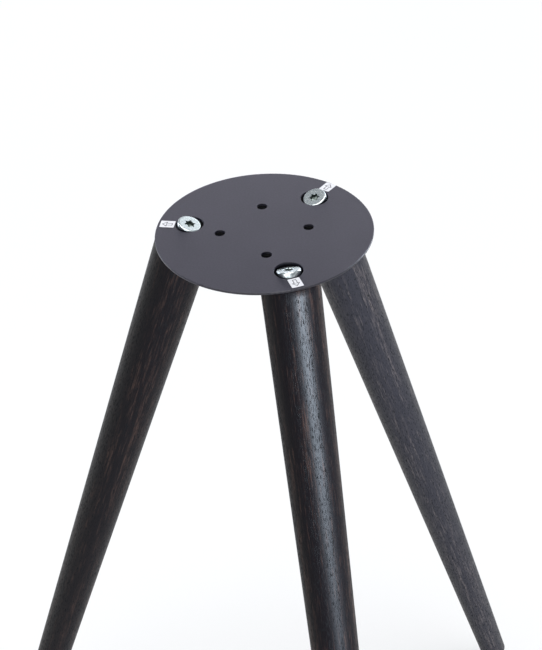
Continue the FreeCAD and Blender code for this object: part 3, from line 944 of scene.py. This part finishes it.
def bright_zinc(name, marks, gloss=0.2, socket=False):
    finish = Finish(name, Metallic=1.0)
    across, aside, height = finish.split(finish.place())
    radius = (across ** 2.0 + aside ** 2.0).root()
    cloud = finish.noise(finish.place(), 420, 3.0, 0.6)
    fine = finish.noise(finish.place(), 2600, 2.0, 0.6)
    circles = (radius * (2 * math.pi / TURNING_MARKS) + 5.0 * cloud).sine()
    colour = finish.mix(cloud.step(0.3, 0.7), ZINC_DULL, ZINC_CLEAR)
    rough = gloss + 0.08 * cloud + 0.04 * fine
    # Painted shade: deeper in the socket the colour is darkened, standing in for the shade down in the
    # recess.
    if socket:
        inside = (0 - height).step(SHADE_START, SHADE_FULL) * (radius < SOCKET_RADIUS)
        colour = finish.mix(inside * (0.8 + 0.2 * cloud), colour, SOCKET_PAINTED_SHADE)
        rough = rough + 0.15 * inside
    return finish.set(Base_Color=colour, Roughness=rough,
                      Normal=finish.bump(marks * circles + 0.25 * fine, MARK_DEPTH))


ZINC_HEAD = bright_zinc("zinc_turned", 0.15, 0.18, socket=True)
ZINC_PLAIN = bright_zinc("zinc_plain", 0.0, 0.26)
for piece in SCREW_PIECES.values():
    piece.data.materials.append(ZINC_HEAD)
for piece in LOCKNUT_PIECES + STUD_PIECES:
    piece.data.materials.append(ZINC_PLAIN)
print("zinc nodes on heads:", len(ZINC_HEAD.node_tree.nodes))

# %% [markdown]
# ## Printed sticker
# The arrow is an outline, so it is drawn from distances: a point is inked where its distance to
# the arrow's edge is under half a line's width. A block arrow is a bar joined to a triangle. The
# distance to each is a simple sum, and the smaller of the two is the distance to both together.
# A printed image would need a file and would blur close up, and a formula stays sharp.

# %% Finish the stickers
ARROW_TIP = 4.2 * MM
ARROW_NECK = 0.7 * MM
ARROW_TAIL = -4.0 * MM
ARROW_HALF_HEAD = 2.9 * MM
ARROW_HALF_BAR = 1.35 * MM
ARROW_OVERLAP = 0.2 * MM        # the bar runs that far into the head
INK_HALF_LINE = 0.30 * MM
INK_BLEED = 0.12 * MM
PAPER_DULL, PAPER_CLEAR = (0.64, 0.64, 0.67, 1), (0.72, 0.72, 0.74, 1)
INK = (0.02, 0.02, 0.026, 1)


def printed_sticker():
    finish = Finish("sticker_vinyl", Specular_IOR_Level=0.45)
    along, aside, _ = finish.split(finish.place())
    side = abs(aside)
    bar = (ARROW_TAIL - along).most(along - ARROW_NECK - ARROW_OVERLAP).most(side - ARROW_HALF_BAR)
    run, rise = ARROW_TIP - ARROW_NECK, ARROW_HALF_HEAD
    slope = math.hypot(run, rise)
    head = (ARROW_NECK - along).most(((along - ARROW_TIP) * rise + side * run) / slope)
    edge = abs(bar.least(head))
    blot = finish.noise(finish.place(), 1500, 2.0)
    ink = 1 - (edge + INK_BLEED * (blot - 0.5)).step(INK_HALF_LINE * 0.7, INK_HALF_LINE * 1.3)
    paper = finish.mix(finish.noise(finish.place(), 260, 3.0), PAPER_DULL, PAPER_CLEAR)
    return finish.set(Base_Color=finish.mix(ink * 0.95, paper, INK),
                      Roughness=0.42 + 0.12 * blot, Normal=finish.bump(blot, 0.00001))


STICKER_VINYL = printed_sticker()
for piece in STICKER_PIECES:
    piece.data.materials.append(STICKER_VINYL)
print("sticker nodes:", len(STICKER_VINYL.node_tree.nodes))

# %% [markdown]
# ## Moulded nylon and rubber
# The base comes out of a spark-eroded mould, so it has a fine even grain and a dull sheen. The
# rubber is flatter still, with a dusty bloom on its faces. Both are the same recipe with other
# numbers, so one function makes them.

# %% Finish the bases and pads


def moulded(name, dark, light, rough, grain_scale, grain_depth):
    finish = Finish(name, Specular_IOR_Level=0.4)
    grain = finish.noise(finish.place(), grain_scale, 3.0, 0.7)
    bloom = finish.noise(finish.place(), 90, 3.0, 0.6)
    return finish.set(Base_Color=finish.mix(bloom.step(0.3, 0.75), dark, light),
                      Roughness=rough + 0.16 * grain, Normal=finish.bump(grain, grain_depth))


NYLON = moulded("moulded_nylon", (0.012, 0.012, 0.013, 1), (0.026, 0.026, 0.028, 1), 0.42, 2400, 0.00003)
RUBBER = moulded("pad_rubber_black", (0.014, 0.014, 0.014, 1), (0.034, 0.033, 0.032, 1), 0.68, 1500, 0.00003)
for piece in BASE_PIECES:
    piece.data.materials.append(NYLON)
for piece in PAD_PIECES:
    piece.data.materials.append(RUBBER)
print("moulded pieces:", len(BASE_PIECES) + len(PAD_PIECES))

# %% [markdown]
# ## What keeps its design shape
# The plate, the seats, the washers and the threaded bushes are right as they were drawn, so they
# stay and only get a finish. Remaking them would add nothing but work. The weld nuts, which were
# remade, get their near-black oxide here too, which is also painted shade inside the small holes.

# %% Finish the nodes whose CAD shape stays
# The weld nuts' near-black finish is also painted shade in the small holes.
for piece in NUT_PIECES:
    piece.data.materials.append(NUT_OXIDE_AND_HOLE_SHADE)
KEPT = {"top_plate": PLATE_COAT}
for number in LEGS:
    KEPT[f"leg_seat_{number}"] = SEAT_COAT
    for fitting in ("lock_washer", "leg_insert", "foot_insert"):
        KEPT[f"{fitting}_{number}"] = ZINC_PLAIN
for node, material in KEPT.items():
    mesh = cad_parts[node].data
    mesh.materials.clear()
    mesh.materials.append(material)
print("finished CAD nodes:", len(KEPT))

# %% [markdown]
# ## The floor
# The stand is shown as in a catalogue, on a wide white floor. The floor is one large quad, solid
# from above and clear from below, so that the underside can be looked at too. A thick slab would
# hide it. The floor lies a hair under the pads, so that the two don't flicker.

# %% Lay the floor
FLOOR = CAD_BOX[0][2]
FLOOR_REACH = 40.0
FLOOR_GAP = 0.5 * MM


def pale_floor():
    """A wide floor that is solid from above and clear from below, so the underside can be seen."""
    corners = [(x, y, FLOOR - FLOOR_GAP) for x, y in ((-1, -1), (1, -1), (1, 1), (-1, 1))]
    mesh = bpy.data.meshes.new("studio_floor")
    mesh.from_pydata([(x * FLOOR_REACH, y * FLOOR_REACH, z) for x, y, z in corners], [], [(0, 1, 2, 3)])
    floor = bpy.data.objects.new("studio_floor", mesh)
    bpy.context.scene.collection.objects.link(floor)
    finish = Finish("studio_floor_paint")
    shade = finish.noise(finish.place(), 0.8, 2.0)
    paint = finish.set(Base_Color=finish.mix(shade, (0.90, 0.90, 0.90, 1), (0.93, 0.93, 0.93, 1)),
                       Roughness=0.7 + 0.1 * shade)
    clear = finish.node("BsdfTransparent")
    below = finish.node("NewGeometry", output="Backfacing")
    shell = finish.node("MixShader", {}, {0: below, 1: Field(finish, finish.shader.outputs[0]), 2: clear})
    finish.feed(finish.tree.nodes["Material Output"].inputs["Surface"], shell)
    floor.data.materials.append(paint)
    return floor


FLOOR_PIECE = pale_floor()
print(f"floor at {FLOOR - FLOOR_GAP:.4f} m")

# %% [markdown]
# ## The room
# Black wood is lit by what it mirrors, so the room is dim as a light and would look grey behind
# the stand. The world therefore shows the camera a full-strength backdrop, and everything else
# gets the dim room. A backdrop card would do as well, but only from one side.

# %% Light the room
ROOM_COLOUR = (0.90, 0.94, 1.0, 1)
ROOM_STRENGTH = 0.31


def room():
    world = bpy.data.worlds.new("studio_room")
    bpy.context.scene.world = world
    world.use_nodes = True
    background = world.node_tree.nodes["Background"]
    background.inputs["Color"].default_value = ROOM_COLOUR
    seen = world.node_tree.nodes.new("ShaderNodeLightPath").outputs["Is Camera Ray"]
    strength = world.node_tree.nodes.new("ShaderNodeMath")
    strength.operation = "MAXIMUM"
    strength.inputs[1].default_value = ROOM_STRENGTH
    world.node_tree.links.new(seen, strength.inputs[0])
    world.node_tree.links.new(strength.outputs[0], background.inputs["Strength"])
    bpy.context.scene.view_settings.view_transform = "Standard"


room()
print("room:", bpy.context.scene.world.name)

# %% [markdown]
# ## Lamps and flags
# A lamp's power says little, because a large panel spreads it thin, so a panel is given by its
# brightness and the power is worked out from its size. In a studio a flag, which is a black card
# on a stand, keeps a light off a thing. Here the same is done by light linking: a list of things
# that a light leaves out, or the only things that it reaches.

# %% Make lamps, panels and flags
PANEL_AIM = Vector((0, 0, -0.25))


def lamp(name, kind, power, colour, **settings):
    made = bpy.data.lights.new(name, kind)
    made.energy, made.color = power, colour
    for setting, value in settings.items():
        setattr(made, setting, value)
    light = bpy.data.objects.new(name, made)
    light.visible_camera = False
    bpy.context.scene.collection.objects.link(light)
    return light


def panel(name, bearing, distance, height, size, radiance, colour):
    """An upright soft panel that faces the stand; its power follows from its size."""
    turn = math.radians(bearing)
    light = lamp(name, "AREA", radiance * math.pi * size[0] * size[1], colour,
                 shape="RECTANGLE", size=size[0], size_y=size[1])
    light.location = (distance * math.cos(turn), distance * math.sin(turn), height)
    light.rotation_euler = (PANEL_AIM - light.location).to_track_quat("-Z", "Y").to_euler()
    return light


def aim_light(light, state, *things):
    """EXCLUDE keeps a light off some things, as a flag does; INCLUDE lets it reach only them."""
    chosen = bpy.data.collections.new(f"{light.name}_{state.lower()}")
    for thing in things:
        chosen.objects.link(thing)
    for entry in chosen.collection_objects:
        entry.light_linking.link_state = state
    light.light_linking.receiver_collection = chosen


SCREWS = list(SCREW_PIECES.values())
FITTINGS = SCREWS + LOCKNUT_PIECES + STUD_PIECES + BASE_PIECES + PAD_PIECES
print("things the strip leaves out:", 2 + len(STICKER_PIECES) + len(FITTINGS))

# %% [markdown]
# ## The lights
# A wide sun, as through a diffuser overhead, whitens the floor, lights the stickers and keeps the
# shadow soft. A strong strip in front and to the right draws the cool band down the legs. It is
# so strong that it would burn out anything pale, so it is kept off all but the wood and the
# steel under the plate. A low wall of light behind brightens the plate at a slant, but not the
# screws, and two narrow strips behind edge the legs. A small panel high behind and one in front
# to the left fill in. Two cards light only the screws, because bright metal shows whatever faces
# it. No panel lights the floor, so that no panel's edge shows on it. These lights suit this one
# view, and from others the wood looks almost black.

# %% Set the lights
lamp("overhead_diffuser", "SUN", 2.6, (1.0, 1.0, 1.0), angle=math.radians(55))
# each panel: bearing in degrees, distance and height in metres, size, brightness, colour
RIGHT_STRIP = panel("right_strip", -61, 2.5, 0.14, (1.4, 1.0), 98.0, (0.74, 0.86, 1.0))
BACK_WALL = panel("back_wall", 90, 4.0, 0.45, (5.0, 1.5), 4.6, (0.90, 0.88, 1.0))
BACK_CARD = panel("back_card", 90, 4.0, -0.20, (5.0, 2.4), 1.5, (0.93, 0.98, 1.0))
FRONT_CARD = panel("front_card", -105, 2.5, 0.20, (2.6, 1.4), 1.4, (0.90, 0.97, 1.0))
FILLS = [panel("back_panel", 60, 2.4, 1.35, (0.9, 0.9), 1.7, (0.92, 0.97, 1.0)),
         panel("rear_right_strip", 38, 2.5, 0.3, (0.6, 1.4), 16.0, (0.80, 0.88, 1.0)),
         panel("rear_left_strip", 148, 2.5, 0.3, (0.6, 1.4), 10.0, (0.80, 0.88, 1.0)),
         panel("left_fill", -125, 2.6, 0.3, (1.3, 1.3), 1.1, (0.95, 0.98, 1.0))]
aim_light(RIGHT_STRIP, "EXCLUDE", FLOOR_PIECE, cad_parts["top_plate"], *STICKER_PIECES, *FITTINGS)
aim_light(BACK_WALL, "EXCLUDE", FLOOR_PIECE, *SCREWS)
for card in (BACK_CARD, FRONT_CARD):
    aim_light(card, "INCLUDE", *SCREWS)
for fill in FILLS:
    aim_light(fill, "EXCLUDE", FLOOR_PIECE)
print("panels:", 4 + len(FILLS))

# %% [markdown]
# ## The camera
# A long lens from a little over a metre away looks down on the plate, with a slight roll. It is
# placed by its bearing and its elevation round the plate's centre, which is easier to think in
# than three coordinates, and it is turned to look at one point.

# %% Set the camera
CAMERA_DISTANCE = 1.300
CAMERA_BEARING = math.radians(-90.96)
CAMERA_ELEVATION = math.radians(32.87)
CAMERA_ROLL = math.radians(-3.39)
CAMERA_AIM = Vector((0.001, 0.0, -0.0969))
CAMERA_LENS = 87.65
SENSOR_WIDTH = 36


def place_camera():
    out = Vector((math.cos(CAMERA_BEARING), math.sin(CAMERA_BEARING), 0)) * math.cos(CAMERA_ELEVATION)
    place = CAMERA_DISTANCE * (out + Vector((0, 0, math.sin(CAMERA_ELEVATION))))
    lens = bpy.data.cameras.new("catalogue_camera")
    lens.lens = CAMERA_LENS
    lens.sensor_width = SENSOR_WIDTH
    camera = bpy.data.objects.new("catalogue_camera", lens)
    look = (CAMERA_AIM - place).to_track_quat("-Z", "Y").to_matrix().to_4x4()
    camera.matrix_world = Matrix.Translation(place) @ look @ Matrix.Rotation(CAMERA_ROLL, 4, "Z")
    bpy.context.scene.collection.objects.link(camera)
    bpy.context.scene.camera = camera


place_camera()
print("camera:", bpy.context.scene.camera.name)

# %% [markdown]
# ## Boxes
# The box that object_bounds gives can be larger than the meshes are, because a piece that
# leans counts with a box that leans with it.
